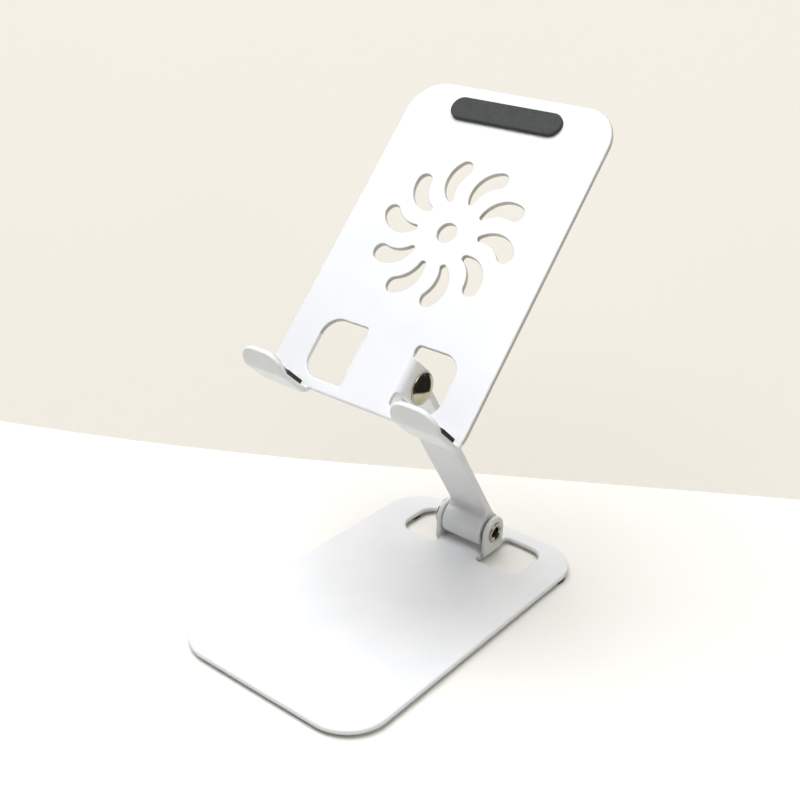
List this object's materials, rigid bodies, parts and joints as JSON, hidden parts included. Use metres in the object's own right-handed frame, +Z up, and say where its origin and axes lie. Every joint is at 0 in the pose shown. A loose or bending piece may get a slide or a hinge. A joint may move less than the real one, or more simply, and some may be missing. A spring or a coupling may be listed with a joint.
{
  "type": "phone stand",
  "caption": "Desktop phone stand: flat base plate, folding arm on two friction hinges and a tilting back plate with padded hooks, curved vent slots and a top pad.",
  "frame": {"origin": "centre of the base plate's footprint on the table surface", "axes": "+Z up, the user sits on the -Y side and looks towards +Y, +X to the user's right"},
  "size_m": [0.084, 0.1396, 0.1778],
  "materials": {
    "white_coat": "fine satin powder coat",
    "nickel": "polished nickel plate",
    "rubber_black": "matt",
    "rubber_grey": "matt",
    "nylon": "matt",
    "bush_plastic": "matt"
  },
  "bodies": {
    "base": {"base_plate": "white_coat", "foot_front_left": "rubber_black", "foot_front_right": "rubber_black", "foot_rear_left": "rubber_black", "foot_rear_right": "rubber_black", "base_hinge_nut": "nickel", "base_hinge_screw": "nickel", "base_washer_left": "nylon", "base_washer_right": "nylon", "base_spring_washer": "nickel"},
    "link": {"arm": "white_coat", "base_hinge_bush": "bush_plastic", "top_hinge_bush": "bush_plastic"},
    "plate": {"back_plate": "white_coat", "top_pad": "rubber_grey", "hook_pad_left": "rubber_black", "hook_pad_right": "rubber_black", "top_hinge_nut": "nickel", "top_hinge_screw": "nickel", "top_washer_left": "nylon", "top_washer_right": "nylon", "top_spring_washer": "nickel"}
  },
  "joints": [
    {"name": "arm_fold", "type": "hinge", "parent": "base", "child": "link", "pos_m": [0, 0.0505, 0.0121], "axis": [1, 0, 0], "range_deg": [-45, 25]},
    {"name": "plate_tilt", "type": "hinge", "parent": "link", "child": "plate", "pos_m": [0, -0.00324, 0.09199], "axis": [-1, 0, 0], "range_deg": [-60, 70]}
  ]
}
